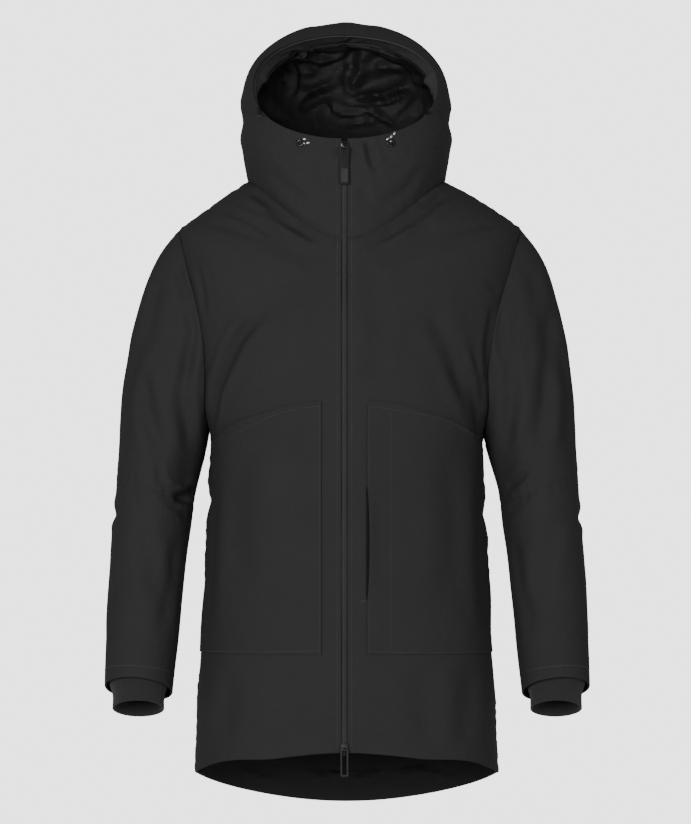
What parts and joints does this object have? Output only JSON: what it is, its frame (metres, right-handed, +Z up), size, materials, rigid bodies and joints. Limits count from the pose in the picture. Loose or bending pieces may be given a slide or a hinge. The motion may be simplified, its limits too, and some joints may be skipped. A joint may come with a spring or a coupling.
{
  "type": "hooded parka",
  "caption": "Long hooded zip parka, filled out as if worn, with a high funnel collar, patch pockets, knit inner cuffs and a dropped back hem.",
  "frame": {"origin": "middle of the neck at the level where the wearer's neck and shoulders carry the coat", "axes": "+Z up, front of the coat towards -Y, +X to the right of someone who looks at the front"},
  "size_m": [0.6744, 0.3421, 1.1199],
  "materials": {
    "shell": "matte dense black shell cloth",
    "lining": "smooth black lining with a soft sheen, lightly padded",
    "knit": "black fine rib knit",
    "zip": "black coil zip on woven tape",
    "pull_rubber": "matte black moulded pull",
    "metal": "dull grey metal",
    "dark_metal": "glossy black enamelled metal"
  },
  "bodies": {
    "coat": {"front_left": "shell", "front_right": "shell", "back": "shell", "pocket_left": "shell", "pocket_right": "shell", "sleeve_upper_left": "shell", "sleeve_upper_right": "shell", "sleeve_lower_left": "shell", "sleeve_lower_right": "shell", "cuff_left": "knit", "cuff_right": "knit", "collar_left": "shell", "collar_right": "shell", "hood_left": "shell", "hood_right": "shell", "hood_facing": "shell", "hood_lining": "lining", "back_facing": "shell", "back_lining": "lining", "zip_chain": "zip", "slider_top": "dark_metal", "slider_bottom": "metal", "eyelet_left": "metal", "eyelet_right": "metal"},
    "top_pull": {"pull_top": "pull_rubber"},
    "bottom_pull": {"pull_bottom": "metal"}
  },
  "joints": [
    {"name": "top_pull_swing", "type": "hinge", "parent": "coat", "child": "top_pull", "pos_m": [-0.0028, -0.12706, 0.04547], "axis": [-1, 0, 0], "range_deg": [0, 150]},
    {"name": "bottom_pull_swing", "type": "hinge", "parent": "coat", "child": "bottom_pull", "pos_m": [-0.0028, -0.15349, -0.77916], "axis": [-1, 0, 0], "range_deg": [0, 150]}
  ]
}
